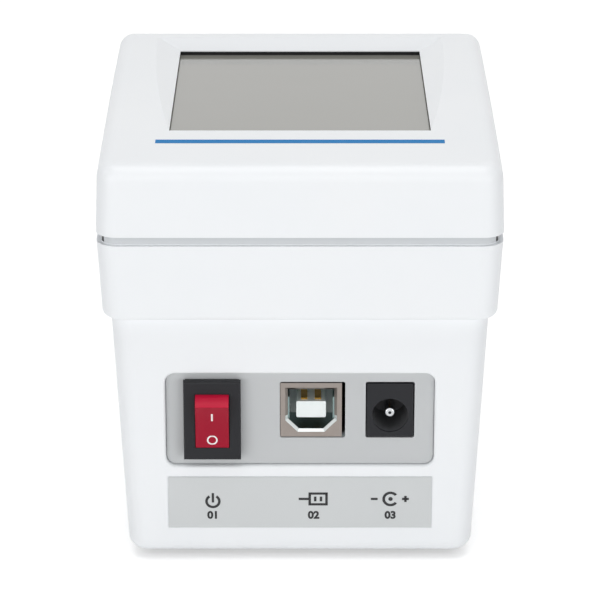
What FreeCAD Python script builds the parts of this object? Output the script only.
import FreeCAD, Part
import math
import os

# Rapid test reader: a bench box with a sloping touch screen on top, a motor-driven
# cassette drawer in front and the power and data sockets behind.
# Millimetres, +Z up, front towards -Y. The origin is on the table under the middle.

# Case: feet, body, collar and cover, from the table up.
foot_show = 1.5
body_half_w = 32.8
body_half_l = 46.5
body_lean_x = 3.0
body_lean_y = 2.0
collar_z = 51.0
collar_step_x = 4.0
collar_step_y = 4.1
collar_lean_x = 3.2
collar_lean_y = 2.0
seam_z = 66.2
seam_gap = 1.75
cover_step_x = 0.95
cover_step_y = 0.6
cover_lean_x = 1.9
cover_lean_y = 1.9
case_corner = 4.0
body_bottom_round = 2.5
collar_round = 1.5
cover_round = 3.0
body_wall = 2.0
collar_wall = 2.2
cover_wall = 2.0
cover_roof = 3.4
ledge = 2.0

# Crown of the cover, seen from the side, above the cover's lower edge.
crown_rear_in = 3.7
crown_rear_h = 13.45
crown_middle_h = 12.1
crown_front_in = 7.2
crown_front_h = 9.1
nose_mid_in = 2.6
nose_mid_h = 7.75
nose_end_out = 1.3
nose_end_h = 4.35

# Shadow band in the seam and the lip of the body above it, inside the cover.
band_inset = 0.85
lip_inset = 1.3
lip_wall = 0.9
lip_rise = 2.0
lip_gap = 0.15

# Window in the cover. Its frame slopes in from the crown, most at the front.
window_side = 13.1
window_rear_in = 22.3
window_front_in = 13.8
window_lip = 0.2
bevel_drop = 1.95
bevel_l = 3.9
bevel_w = 4.7

# Corner posts of the body and the cover's bosses on them.
post_in_x = 4.8
post_in_y = 5.0
post_r = 3.2
post_top_z = 58.0
post_web = 2.5
well_r = 2.1
boss_r = 2.8
boss_bore_l = 8.0
case_screw_r = 1.25
case_screw_l = 8.5
case_head_r = 1.95
case_head_h = 1.8
screw_gap = 0.08

# Base plate, its rod posts, and the feet.
base_rise = 0.5
base_t = 2.4
base_rim = 3.2
base_gap = 0.2
base_screw_in_x = 6.0
base_screw_in_y = 13.5
base_boss_r = 2.2
base_boss_h = 5.0
foot_in_x = 12.8
foot_in_y = 10.0
foot_r = 4.0
foot_seat = 0.6
foot_edge = 0.5
foot_gap = 0.03

# Countersunk screws that go up through the base plate.
sunk_screw_r = 1.0
sunk_head_r = 1.9
sunk_screw_l = 6.0

# Guide rods and the plain bushes that run on them.
rod_r = 1.5
rod_in_x = 12.3
rod_z = 10.0
rod_front_in = 3.9
rod_rear_in = 5.5
rod_post_half = 2.9
rod_post_l = 3.4
bush_r = 2.5
bush_play = 0.03

# Drawer: tray, front, rack and white tile.
tray_in_x = 4.5
tray_low_z = 9.5
tray_top_z = 17.0
tray_rear_in = 7.0
pocket_wall = 5.0
pocket_front_in = 6.5
pocket_rear_in = 12.0
pocket_depth = 5.0
pocket_corner = 1.5
finger_out = 2.6
finger_l = 16.0
finger_depth = 2.6
lug_l = 10.0
lug_half = 3.2
flag_half_w = 0.6
flag_l = 5.5
flag_h = 3.0
slot_out = 3.5
slot_low_z = 7.9
slot_top_z = 19.3
front_gap = 0.3
front_screw_in = 4.0
front_screw_z = 14.2
tile_l = 6.0
tile_t = 1.2
tile_gap = 3.0

# Rack and pinion.
tooth_module = 0.6
pinion_teeth = 16
pressure_angle = 20.0
addendum_share = 0.8
dedendum_share = 1.05
backlash = 0.12
rack_line_out = 2.7
rack_low_z = 13.6
rack_top_z = 17.0
rack_front_in = 6.0
pinion_in = 14.7
pinion_low_z = 13.3
pinion_top_z = 17.2
hub_r = 2.2
hub_h = 1.0

# Stepper motor.
motor_r = 7.0
motor_h = 12.0
motor_round = 0.6
motor_boss_r = 3.0
motor_boss_h = 1.4
motor_ear_turn = 60.0
motor_ear_reach = 9.5
motor_ear_r = 2.2
motor_ear_t = 1.0
shaft_r = 1.0
shaft_play = 0.03
shaft_in = 9.0
motor_plug_w = 6.0
motor_plug_t = 2.6
motor_plug_h = 5.0

# Chassis that bridges the drawer and carries motor and optics.
deck_low_z = 18.8
deck_t = 2.0
deck_in_x = 3.3
deck_front_in = 2.5
deck_rear_out = 4.0
leg_in_x = 5.8
leg_half_w = 2.0
leg_half_l = 4.0
leg_front_out = 11.5
leg_rear_in = 4.0
eye_in = 4.0
post_clear = 0.5

# Optics: hood, window, lamps, camera and lens.
hood_in_x = 2.0
hood_front_in = 18.5
hood_rear_in = 30.5
hood_h = 29.0
hood_wall = 1.6
hood_ear_out = 2.0
hood_ear_half = 2.4
hood_ear_t = 1.8
hood_ear_front_in = 9.0
hood_ear_rear_in = 6.0
pane_t = 1.2
fit_gap = 0.15
lamp_board_h = 6.0
lamp_board_t = 0.8
lamp_board_in = 5.0
lamp_board_lift = 3.4
lamp_count = 4
lamp_t = 1.2
lamp_w = 3.0
lamp_h = 2.4
camera_in = 1.5
camera_l = 24.0
camera_t = 1.2
camera_boss_h = 3.0
camera_boss_r = 2.1
camera_hole_inset = 2.6
holder_r = 6.0
holder_l = 9.0
sensor_w = 7.0
sensor_t = 1.0
barrel_r = 4.4
barrel_l = 6.0
barrel_drop = 2.6
lens_r = 3.4
lens_t = 1.8
lens_swell = 0.7
camera_socket_in = 6.5
camera_socket_l = 4.0
camera_socket_h = 2.0

# Small pan screws, all alike, and their holes.
pan_r = 0.95
pan_l = 4.5
pan_head_r = 1.8
pan_head_h = 1.2
pan_hole_r = 1.0
pan_hole_l = 5.0

# End sensor behind the tray.
opto_half_w = 3.0
opto_l = 4.6
opto_h = 7.2
opto_slot = 0.6
opto_floor = 2.2
opto_gap = 2.2
opto_board_t = 1.0
opto_board_w = 15.0
opto_board_l = 7.6

# Rear recess, panel, label and shelves.
recess_w = 50.7
recess_h = 19.3
recess_z = 29.72
recess_corner = 1.9
recess_depth = 1.8
recess_round = 0.5
panel_t = 0.8
panel_gap = 0.12
pad_t = 1.8
pad_margin = 1.6
label_side = 0.3
label_h = 10.7
label_z = 12.47
label_t = 0.25
label_seat = 0.1

# Rocker switch.
switch_side = 8.8
switch_z = 30.05
bezel_w = 10.8
bezel_h = 16.0
bezel_t = 1.9
bezel_round = 0.35
bezel_neck = 0.3
bezel_neck_t = 0.6
switch_body_w = 9.2
switch_body_h = 13.4
switch_body_l = 12.5
switch_hole_gap = 0.15
rocker_w = 6.3
rocker_r = 5.6
rocker_face = 2.9
rocker_dip = 0.5
rocker_tilt = 14.4
rocker_back = 2.4
rocker_sink = 1.5
rocker_side_gap = 0.12
rocker_end_gap = 0.1
rocker_round = 0.35
pivot_r = 0.8
pivot_l = 0.9
pivot_play = 0.05
latch_w = 4.0
latch_h = 3.0
latch_t = 0.6
blade_w = 3.2
blade_t = 0.8
blade_l = 5.5
blade_pitch = 5.6
blade_hole_r = 0.6

# Data socket, hung upside down under its board.
usb_gap_share = 0.382
usb_w = 11.6
usb_h = 11.0
usb_l = 16.0
usb_wall = 0.4
usb_face = 0.7
usb_sink = 0.2
port_hole_near = 0.1
port_hole_far = 0.65
port_w = 8.8
port_h = 8.1
port_lead = 0.5
port_chamfer = 2.1
tongue_w = 5.6
tongue_h = 3.3
tongue_l = 9.0
tongue_drop = 0.56
tongue_round = 0.3
block_l = 5.4
contact_w = 1.2
contact_t = 0.3
contact_pitch = 2.6
contact_l = 8.0
usb_leaf_w = 0.3
usb_leaf_h = 4.6
usb_leaf_l = 6.0
usb_leaf_gap = 0.2

# Power socket.
jack_side = 8.35
jack_w = 9.0
jack_h = 11.0
jack_l = 14.0
jack_bore_r = 3.4
jack_bore_rise = 4.45
jack_bore_l = 9.5
jack_round = 0.3
pin_r = 1.0
pin_round = 0.4
pin_hole_r = 0.3
pin_sink = 1.3
pin_hole_l = 3.0
pin_foot = 2.0
jack_slot_w = 2.6
jack_slot_h = 0.9
jack_leaf_t = 0.3
jack_leaf_w = 2.2
jack_leaf_l = 7.0

# Cutouts round both sockets.
port_hole_top = 0.42
port_hole_low = 0.22
port_hole_round = 0.4

# Socket board behind the rear wall.
io_board_z = 36.9
io_board_t = 1.6
io_board_out = 9.4
io_board_in = 1.8
io_board_l = 18.0
io_board_back_gap = 0.4
shelf_w = 3.9
shelf_l = 10.0
shelf_h = 5.0
shelf_in = 0.8
shelf_high_in = 4.4
io_cap_r = 2.5
io_cap_h = 6.0
io_coil_w = 7.0
io_coil_h = 3.0
header_w = 7.5
header_l = 4.5
header_h = 5.5
ribbon_socket_w = 14.0
ribbon_socket_l = 4.0
ribbon_socket_h = 3.0

# Display stack under the window, square to the glass.
gasket_t = 0.75
gasket_rim = 1.3
gasket_step = 0.3
glass_t = 1.1
glass_rim = 1.5
glass_gap = 0.4
lcd_t = 3.2
lcd_rim = 1.4
lcd_border = 1.2
carrier_t = 1.6
carrier_wall = 1.0
carrier_gap = 0.2
carrier_ear_in = 5.75
carrier_ear_front_in = 6.15
carrier_ear_rear_in = 9.15
carrier_ear_half = 2.3
standoff_across = 4.6
standoff_l = 8.0
standoff_in = 7.5
standoff_in_l = 4.0
board_in = 2.5
board_out_l = 0.85
board_t = 1.6
seat_in = 2.4

# Pieces on the main board.
chip_w = 14.0
chip_h = 1.4
memory_w = 9.0
memory_l = 8.0
memory_h = 1.1
coil_w = 6.0
coil_h = 3.2
cell_r = 8.0
cell_h = 2.6
cell_lift = 0.6
cell_x = 14.0
cell_y = 12.0
buzzer_r = 5.0
buzzer_h = 4.5
buzzer_in_x = 13.5
buzzer_in_y = 14.0
buzzer_hole_r = 1.0
ffc_w = 24.0
ffc_l = 4.0
ffc_h = 1.8
flex_t = 0.3
flex_w = 20.0
flex_bow = 2.0

# Leads between switch and socket board.
lead_r = 0.7
lead_pitch = 2.4
lead_bend = 5.0
lead_back = 7.0

overrun = 1.0

# Places that follow from the sizes above.
V = FreeCAD.Vector
ORIGIN = V(0, 0, 0)
X = V(1, 0, 0)
Y = V(0, 1, 0)
Z = V(0, 0, 1)
SIDES = (-1, 1)


def lean(angle):
    return math.tan(math.radians(angle))


collar_half_w = body_half_w + collar_step_x
collar_half_l = body_half_l + collar_step_y
cover_half_w = collar_half_w + cover_step_x
cover_half_l = collar_half_l + cover_step_y
crown_rear_y = cover_half_l - crown_rear_in
crown_front_y = cover_half_l - crown_front_in
nose_mid_y = cover_half_l - nose_mid_in
nose_end_y = cover_half_l + nose_end_out
window_w = 2 * (cover_half_w - window_side)
window_rear_y = cover_half_l - window_rear_in
window_l = window_rear_y + cover_half_l - window_front_in
post_x = body_half_w - post_in_x
post_y = body_half_l - post_in_y
base_screw_x = body_half_w - base_screw_in_x
base_screw_y = body_half_l - base_screw_in_y
foot_x = body_half_w - foot_in_x
foot_y = body_half_l - foot_in_y
rod_x = body_half_w - rod_in_x
rod_front_y = rod_front_in - body_half_l
rod_rear_y = body_half_l - rod_rear_in
tray_half_w = rod_x - tray_in_x
tray_rear_y = rod_rear_y - tray_rear_in
pocket_half_w = tray_half_w - pocket_wall
pocket_front_y = pocket_front_in - body_half_l
pocket_l = tray_rear_y - pocket_rear_in - pocket_front_y
finger_half_w = pocket_half_w + finger_out
slot_half_w = tray_half_w + slot_out
front_screw_x = pocket_half_w - front_screw_in
tile_half_w = pocket_half_w
rack_line_x = tray_half_w + rack_line_out
rack_front_y = rack_front_in - body_half_l
pinion_y = pinion_in - body_half_l
deck_half_w = body_half_w - deck_in_x
deck_front_y = deck_front_in - body_half_l
hood_half_w = tray_half_w - hood_in_x
hood_front_y = hood_front_in - body_half_l
hood_rear_y = body_half_l - hood_rear_in
deck_rear_y = hood_rear_y + deck_rear_out
leg_x = body_half_w - leg_in_x
leg_front_y = hood_front_y + leg_front_out
leg_rear_y = hood_rear_y - leg_rear_in
eye_half_w = hood_half_w - eye_in
eye_front_y = hood_front_y + eye_in
eye_rear_y = hood_rear_y - eye_in
hood_ear_x = hood_half_w + hood_ear_out
hood_ear_front_y = hood_front_y + hood_ear_front_in
hood_ear_rear_y = hood_rear_y - hood_ear_rear_in
lamp_board_l = hood_rear_y - hood_front_y - 2 * lamp_board_in
camera_w = 2 * (hood_half_w - camera_in)
camera_socket_w = camera_w - 2 * camera_socket_in
carrier_ear_x = cover_half_w - carrier_ear_in
standoff_x = carrier_ear_x - standoff_in
board_half_w = carrier_ear_x - board_in
buzzer_x = buzzer_in_x - board_half_w
seat_side = carrier_ear_x - seat_in
switch_x = recess_w / 2 - switch_side
jack_x = jack_side - recess_w / 2
jack_end_x = jack_x + jack_w / 2
socket_room = switch_x - bezel_w / 2 - jack_end_x - usb_w
usb_x = jack_end_x + usb_gap_share * socket_room + usb_w / 2
io_board_low_x = jack_x - io_board_out
io_board_high_x = switch_x - bezel_w / 2 - io_board_in
shelf_low_x = io_board_low_x + shelf_in
shelf_high_x = io_board_high_x - shelf_high_in
label_w = recess_w - 2 * label_side
carrier_ear_front = window_l / 2 - carrier_ear_front_in
carrier_ear_rear = window_l / 2 - carrier_ear_rear_in
board_half_l = window_l / 2 + board_out_l
buzzer_y = board_half_l - buzzer_in_y
standoff_y = board_half_l - standoff_in_l
body_low_z = foot_show
cover_z = seam_z + seam_gap
base_low_z = body_low_z + base_rise
base_top_z = base_low_z + base_t
deck_top_z = deck_low_z + deck_t
hood_top_z = deck_top_z + hood_h
camera_z = hood_top_z + camera_boss_h
pocket_rear_y = pocket_front_y + pocket_l
pocket_floor_z = tray_top_z - pocket_depth
hood_mid_y = (hood_front_y + hood_rear_y) / 2
pinion_pitch_r = tooth_module * pinion_teeth / 2
pinion_x = rack_line_x + pinion_pitch_r
tooth_pitch = math.pi * tooth_module
addendum = addendum_share * tooth_module
dedendum = dedendum_share * tooth_module


def body_w(z):
    """Half width of the body at a height."""
    return body_half_w + (z - body_low_z) * lean(body_lean_x)


def body_l(z):
    """Half depth of the body at a height."""
    return body_half_l + (z - body_low_z) * lean(body_lean_y)


def collar_w(z):
    return collar_half_w + (z - collar_z) * lean(collar_lean_x)


def collar_l(z):
    return collar_half_l + (z - collar_z) * lean(collar_lean_y)


def cover_w(z):
    return cover_half_w - (z - cover_z) * lean(cover_lean_x)


def cover_l(z):
    return cover_half_l - (z - cover_z) * lean(cover_lean_y)


def block(x0, x1, y0, y1, z0, z1):
    return Part.makeBox(x1 - x0, y1 - y0, z1 - z0, V(x0, y0, z0))


def around(x, y, half_x, half_y, z0, z1):
    """Upright block about a centre line."""
    return block(x - half_x, x + half_x, y - half_y, y + half_y, z0, z1)


def drum(r, x, y, z0, z1):
    """Upright cylinder."""
    return Part.makeCylinder(r, z1 - z0, V(x, y, z0), Z)


def bar(r, x, z, y0, y1):
    """Cylinder lying front to back."""
    return Part.makeCylinder(r, y1 - y0, V(x, y0, z), Y)


def join(shapes):
    first = shapes[0]
    return first.multiFuse(shapes[1:]).removeSplitter() if len(shapes) > 1 else first


def outline(half_x, half_y, corner, z):
    """Level rounded rectangle about the middle of the case."""
    edges = []
    inner_x = half_x - corner
    inner_y = half_y - corner
    for turn, (sx, sy) in enumerate(((1, 1), (-1, 1), (-1, -1), (1, -1))):
        centre = V(sx * inner_x, sy * inner_y, z)
        edges.append(Part.makeCircle(corner, centre, Z, 90 * turn, 90 * turn + 90))
    edges.append(Part.makeLine(V(inner_x, half_y, z), V(-inner_x, half_y, z)))
    edges.append(Part.makeLine(V(-half_x, inner_y, z), V(-half_x, -inner_y, z)))
    edges.append(Part.makeLine(V(-inner_x, -half_y, z), V(inner_x, -half_y, z)))
    edges.append(Part.makeLine(V(half_x, -inner_y, z), V(half_x, inner_y, z)))
    return Part.Wire(Part.__sortEdges__(edges))


def frustum(low, high):
    """Solid with four plane sides between two rings of four points."""
    rings = [low, high]
    for index in range(4):
        after = (index + 1) % 4
        rings.append([low[index], low[after], high[after], high[index]])
    faces = [Part.Face(Part.makePolygon(ring + ring[:1])) for ring in rings]
    solid = Part.Solid(Part.Shell(faces))
    if solid.Volume < 0:
        solid.reverse()
    return solid


def tub(width, length, inset, z0, z1, corner=case_corner):
    """Solid between two heights whose sides follow the case, drawn in by inset."""
    wires = []
    for z in (z0, z1):
        wires.append(outline(width(z) - inset, length(z) - inset, corner, z))
    return Part.makeLoft(wires, True, True)


def round_edges(shape, radius, test):
    """Fillet every edge that a test picks."""
    return shape.makeFillet(radius, [edge for edge in shape.Edges if test(edge.BoundBox)])


def prism_x(points, x0, x1):
    """Side-view polygon of (y, z) points, drawn out across the case."""
    wire = Part.makePolygon([V(x0, y, z) for y, z in points + points[:1]])
    return Part.Face(wire).extrude(V(x1 - x0, 0, 0))


def on_rear(shape, z):
    """Turn a piece built on the plane y = 0 onto the leaning rear face."""
    shape.rotate(ORIGIN, X, -body_lean_y)
    shape.translate(V(0, body_l(z), z))
    return shape


def rear_plate(half_w, half_h, corner, y0, y1):
    """Upright rounded plate on the plane y = 0, for on_rear."""
    plate = Part.Face(outline(half_w, half_h, corner, 0)).extrude(V(0, 0, y1 - y0))
    plate.rotate(ORIGIN, X, 90)
    plate.translate(V(0, y1, 0))
    return plate


panel_front = panel_t - recess_depth


def panel_y(z):
    """Front of the rear panel at a height."""
    return body_l(z) + panel_front


# Crown of the cover and the plane of the display

def crown(drop):
    """Side view of the cover's top, lowered by drop, as a face to be drawn out."""
    rear = V(0, crown_rear_y, cover_z + crown_rear_h - drop)
    middle = V(0, 0, cover_z + crown_middle_h - drop)
    front = V(0, -crown_front_y, cover_z + crown_front_h - drop)
    nose = V(0, -nose_mid_y, cover_z + nose_mid_h - drop)
    nose_end = V(0, -nose_end_y, cover_z + nose_end_h - drop)
    far = cover_half_l + overrun
    top = [
        Part.makeLine(V(0, far, rear.z), rear),
        Part.Arc(rear, middle, front).toShape(),
        Part.Arc(front, nose, nose_end).toShape(),
    ]
    low = cover_z - overrun
    rest = Part.makePolygon([nose_end, V(0, nose_end.y, low), V(0, far, low), V(0, far, rear.z)])
    face = Part.Face(Part.Wire(Part.__sortEdges__(top + rest.Edges)))
    side = cover_half_w + overrun
    face.translate(V(-side, 0, 0))
    return face.extrude(V(2 * side, 0, 0))


def crown_curve():
    """Height of the crown as a parabola through its three points."""
    rear = (crown_rear_h - crown_middle_h) / crown_rear_y
    front = (crown_middle_h - crown_front_h) / crown_front_y
    bend = (front - rear) / (crown_rear_y + crown_front_y)
    slope = rear + bend * crown_rear_y
    return slope, bend


def crown_z(y):
    slope, bend = crown_curve()
    return cover_z + crown_middle_h + slope * y - bend * y * y


window_front_y = window_rear_y - window_l
window_mid_y = (window_rear_y + window_front_y) / 2
rim_rise = crown_z(window_rear_y) - crown_z(window_front_y) + bevel_drop
glass_slope = math.degrees(math.atan2(rim_rise, window_l))
rim_z = crown_z(window_rear_y) - rim_rise / 2
glass_z = rim_z - (window_lip + gasket_t) / math.cos(math.radians(glass_slope))


def on_glass(shape):
    """Tilt a piece built about the glass's top face into the cover."""
    shape.rotate(ORIGIN, X, glass_slope)
    shape.translate(V(0, window_mid_y, glass_z))
    return shape


lcd_low = -glass_t - lcd_t
carrier_low = lcd_low - carrier_t
board_top = carrier_low - standoff_l
board_low = board_top - board_t
window_half_w = window_w / 2
window_half_l = window_l / 2 / math.cos(math.radians(glass_slope))
glass_half_w = window_half_w + glass_rim
glass_half_l = window_half_l + glass_rim
lcd_half_w = window_half_w + lcd_rim
lcd_half_l = window_half_l + lcd_rim
carrier_half_w = lcd_half_w + carrier_gap + carrier_wall
carrier_half_l = lcd_half_l + carrier_gap + carrier_wall


def carrier_ears():
    """Places of the carrier's four ears about the window's centre."""
    places = []
    for side in SIDES:
        for y in (-carrier_ear_front, carrier_ear_rear):
            places.append((side * carrier_ear_x, y))
    return places


def corners(x, y):
    return [(sx * x, sy * y) for sx in SIDES for sy in SIDES]


def pan_screw(x, y, z, up=1):
    """Small screw with its head's seat at z; up is 1 when the head is above."""
    head = drum(pan_head_r, x, y, 0, pan_head_h)
    head = round_edges(head, pan_head_h / 3, lambda box: box.ZMin > pan_head_h / 2)
    shank = drum(pan_r, x, y, -pan_l, 0)
    screw = head.fuse(shank)
    slot = around(x, y, pan_head_r, pan_head_h / 6, pan_head_h / 2, pan_head_h)
    screw = screw.cut(slot)
    if up < 0:
        screw.rotate(V(x, y, 0), X, 180)
    screw.translate(V(0, 0, z))
    return screw


def sunk_screw(x, y):
    """Countersunk screw from under the base plate."""
    head_h = sunk_head_r - sunk_screw_r
    cone = Part.makeCone(sunk_head_r, sunk_screw_r, head_h, V(x, y, base_low_z), Z)
    screw = cone.fuse(drum(sunk_screw_r, x, y, base_low_z, base_low_z + sunk_screw_l))
    slot = around(x, y, sunk_head_r, head_h / 4, base_low_z - overrun, base_low_z + head_h / 2)
    return screw.cut(slot)


def sunk_hole(x, y):
    """Hole for a countersunk screw through the base plate and into its boss."""
    head_h = sunk_head_r - sunk_screw_r
    gap = screw_gap
    cone = Part.makeCone(sunk_head_r + gap, sunk_screw_r + gap, head_h, V(x, y, base_low_z), Z)
    top = base_low_z + sunk_screw_l + gap
    return cone.fuse(drum(sunk_screw_r + gap, x, y, base_low_z - overrun, top))


base_screw_places = corners(base_screw_x, base_screw_y)
leg_places = [(side * leg_x, y) for side in SIDES for y in (leg_front_y, leg_rear_y)]


# Case

def case_posts(shape):
    """Corner posts with a screw well from below."""
    solids = [shape]
    for x, y in corners(post_x, post_y):
        solids.append(drum(post_r, x, y, base_top_z, post_top_z))
    for x, y in base_screw_places:
        side = math.copysign(1, x)
        out = body_w(base_top_z) - body_wall / 2
        boss = drum(base_boss_r, x, y, base_top_z, base_top_z + base_boss_h)
        low, high = sorted((x, side * out))
        web = block(low, high, y - base_boss_r / 2, y + base_boss_r / 2,
                    base_top_z, base_top_z + base_boss_h)
        solids += [boss, web]
    return join(solids)


def case_wells():
    cuts = []
    for x, y in corners(post_x, post_y):
        cuts.append(drum(well_r, x, y, body_low_z - overrun, post_top_z - post_web))
        cuts.append(drum(case_screw_r + screw_gap, x, y, base_low_z, post_top_z + overrun))
    for x, y in base_screw_places:
        cuts.append(drum(sunk_screw_r + screw_gap, x, y, base_low_z,
                         base_low_z + sunk_screw_l + screw_gap))
    return cuts


def socket_holes():
    """Straight cuts through the rear wall and panel for the three sockets."""
    rear = body_l(seam_z) + overrun
    inner = body_l(body_low_z) - body_wall - pad_t - overrun * 3
    gap = switch_hole_gap
    switch = block(switch_x - switch_body_w / 2 - gap, switch_x + switch_body_w / 2 + gap,
                   inner, rear,
                   switch_z - switch_body_h / 2 - gap, switch_z + switch_body_h / 2 + gap)
    usb = block(usb_x - usb_w / 2 - port_hole_far, usb_x + usb_w / 2 + port_hole_near,
                inner, rear, io_board_z - usb_h - port_hole_low, io_board_z + port_hole_top)
    gap = panel_gap
    jack = block(jack_x - jack_w / 2 - gap, jack_x + jack_w / 2 + gap, inner, rear,
                 io_board_z - jack_h - port_hole_low, io_board_z + port_hole_top)
    ports = [round_edges(hole, port_hole_round, lambda box: box.YLength > body_wall)
             for hole in (usb, jack)]
    return [switch] + ports


def board_shelves():
    """Two ribs inside the rear wall that carry the socket board."""
    shelves = []
    rear = body_l(io_board_z) - body_wall
    for x in (shelf_low_x, shelf_high_x):
        shelves.append(block(x, x + shelf_w, rear - shelf_l, rear + body_wall / 2,
                             io_board_z - shelf_h, io_board_z))
    return shelves


def shelf_screws():
    rear = body_l(io_board_z) - body_wall
    y = rear - shelf_l + pan_head_r + overrun
    return [(x + shelf_w / 2, y) for x in (shelf_low_x, shelf_high_x)]


def seam_ring(inset, z0, z1):
    """Upright block of the seam's outline, drawn in from the collar's top edge."""
    ring = outline(collar_w(seam_z) - inset, collar_l(seam_z) - inset, case_corner - inset, z0)
    return Part.Face(ring).extrude(V(0, 0, z1 - z0))


def on_recess_rim(box):
    """Whether an edge lies where the recess meets the leaning rear face."""
    side = recess_w / 2 + overrun / 4
    end = recess_h / 2 + overrun / 4
    inside = box.XMin > -side and box.XMax < side
    inside = inside and box.ZMin > recess_z - end and box.ZMax < recess_z + end
    return inside and box.YMin > body_l(box.ZMin) - recess_depth / 4


def main_housing():
    body = tub(body_w, body_l, 0, body_low_z, collar_z + ledge)
    body = round_edges(body, body_bottom_round, lambda box: box.ZMax < body_low_z + foot_show)
    collar = tub(collar_w, collar_l, 0, collar_z, seam_z)
    collar = round_edges(collar, collar_round, lambda box: box.ZMax < collar_z + ledge)
    band = seam_ring(band_inset, seam_z - ledge, cover_z)
    lip = seam_ring(lip_inset, seam_z - ledge, cover_z + lip_rise)
    shell = join([body, collar, band, lip])
    inner_corner = case_corner - body_wall
    shell = shell.cut(tub(body_w, body_l, body_wall, base_top_z, seam_z, inner_corner))
    shell = shell.cut(tub(body_w, body_l, base_rim, body_low_z - overrun, base_top_z + overrun,
                          inner_corner))
    shell = shell.cut(tub(collar_w, collar_l, collar_wall, collar_z + ledge, seam_z, inner_corner))
    shell = shell.cut(seam_ring(lip_inset + lip_wall, seam_z - ledge / 2,
                                cover_z + lip_rise + overrun))
    shell = case_posts(shell)
    pad = rear_plate(recess_w / 2 + pad_margin, recess_h / 2 + pad_margin, recess_corner,
                     -body_wall - pad_t, -body_wall / 2)
    shell = join([shell, on_rear(pad, recess_z)] + board_shelves())
    recess = rear_plate(recess_w / 2, recess_h / 2, recess_corner, -recess_depth, overrun)
    shell = round_edges(shell.cut(on_rear(recess, recess_z)), recess_round, on_recess_rim)
    seat = rear_plate(label_w / 2 + panel_gap, label_h / 2 + panel_gap, label_seat,
                      -label_seat, overrun)
    cuts = [on_rear(seat, label_z)]
    cuts += socket_holes() + case_wells()
    front = -body_l(collar_z) - overrun
    cuts.append(block(-slot_half_w, slot_half_w, front, -body_l(body_low_z) + body_wall + overrun,
                      slot_low_z, slot_top_z))
    for x, y in shelf_screws():
        cuts.append(drum(pan_hole_r, x, y, io_board_z - pan_hole_l, io_board_z + overrun))
    return shell.cut(cuts)


def window_frame():
    """Room above the sloping frame, which ends upright at the window's rear edge."""
    low = gasket_t + window_lip
    rings = []
    for times in (0, 2):
        x = window_half_w + times * bevel_w
        front = -window_half_l - times * bevel_l
        z = low + times * bevel_drop
        rings.append([V(x, window_half_l, z), V(-x, window_half_l, z), V(-x, front, z),
                      V(x, front, z)])
    return on_glass(frustum(*rings))


def upper_cover():
    outer = tub(cover_w, cover_l, 0, cover_z, cover_z + crown_rear_h + overrun)
    outer = outer.common(crown(0))
    outer = round_edges(outer, cover_round, lambda box: box.ZMin > cover_z + overrun)
    inner_corner = case_corner - cover_wall
    inner = tub(cover_w, cover_l, cover_wall, cover_z - overrun / 2, cover_z + crown_rear_h,
                inner_corner)
    inner = inner.common(crown(cover_roof))
    shell = outer.cut(inner)
    rebate = seam_ring(lip_inset - lip_gap, cover_z - overrun, cover_z + lip_rise + lip_gap)
    seat = on_glass(block(-seat_side, seat_side, -carrier_half_l - glass_gap,
                          carrier_half_l + glass_gap, board_low, gasket_t))
    shell = shell.cut([rebate, seat])
    bosses = []
    for x, y in corners(post_x, post_y):
        bosses.append(drum(boss_r, x, y, post_top_z, crown_z(y) - cover_roof / 2))
    for x, y in carrier_ears():
        bosses.append(on_glass(drum(carrier_ear_half, x, y, lcd_low, gasket_t + overrun / 2)))
    shell = join([shell] + bosses)
    cuts = []
    for x, y in corners(post_x, post_y):
        cuts.append(drum(case_screw_r + screw_gap, x, y, post_top_z - overrun,
                         post_top_z + boss_bore_l))
    for x, y in carrier_ears():
        cuts.append(on_glass(drum(pan_hole_r, x, y, lcd_low - overrun, lcd_low + pan_hole_l)))
    cuts.append(on_glass(around(0, 0, window_half_w, window_half_l, lcd_low,
                                window_lip + lcd_t)))
    cuts.append(window_frame())
    return shell.cut(cuts)


def base_plate():
    plate = tub(body_w, body_l, base_rim + base_gap, base_low_z, base_top_z,
                case_corner - body_wall)
    solids = [plate]
    top = rod_z + rod_post_half
    for side in SIDES:
        for y in rod_posts():
            solids.append(block(side * rod_x - rod_post_half, side * rod_x + rod_post_half,
                                y, y + rod_post_l, base_top_z - base_rise, top))
    plate = join(solids)
    cuts = [sunk_hole(x, y) for x, y in base_screw_places + leg_places]
    for side in SIDES:
        cuts.append(bar(rod_r, side * rod_x, rod_z, rod_front_y, rod_rear_y))
    for x, y in corners(foot_x, foot_y):
        cuts.append(drum(foot_r + foot_gap, x, y, base_low_z - overrun, base_low_z + foot_seat))
    return plate.cut(cuts)


def rod_posts():
    """Rear faces of the four posts that hold the rods, front pair first."""
    return (rod_front_y - foot_edge, rod_rear_y - rod_post_l + foot_edge)


def rubber_feet():
    feet = []
    for x, y in corners(foot_x, foot_y):
        foot = drum(foot_r, x, y, 0, base_low_z + foot_seat)
        feet.append(round_edges(foot, foot_edge, lambda box: box.ZMax < foot_edge))
    return feet


def case_screws():
    """Screws up through the posts into the cover's bosses."""
    seat = post_top_z - post_web
    screws = []
    for x, y in corners(post_x, post_y):
        head = drum(case_head_r, x, y, seat - case_head_h, seat)
        socket = drum(case_screw_r * 0.7, x, y, seat - case_head_h - overrun,
                      seat - case_head_h / 2)
        screws.append(head.fuse(drum(case_screw_r, x, y, seat, seat + case_screw_l)).cut(socket))
    return screws


def base_screws():
    return [sunk_screw(x, y) for x, y in base_screw_places]


def chassis_screws():
    return [sunk_screw(x, y) for x, y in leg_places]


# Rear panel, label and sockets

def io_panel():
    plate = rear_plate(recess_w / 2 - panel_gap, recess_h / 2 - panel_gap,
                       recess_corner - panel_gap, -recess_depth, panel_front)
    return on_rear(plate, recess_z).cut(socket_holes())


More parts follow.
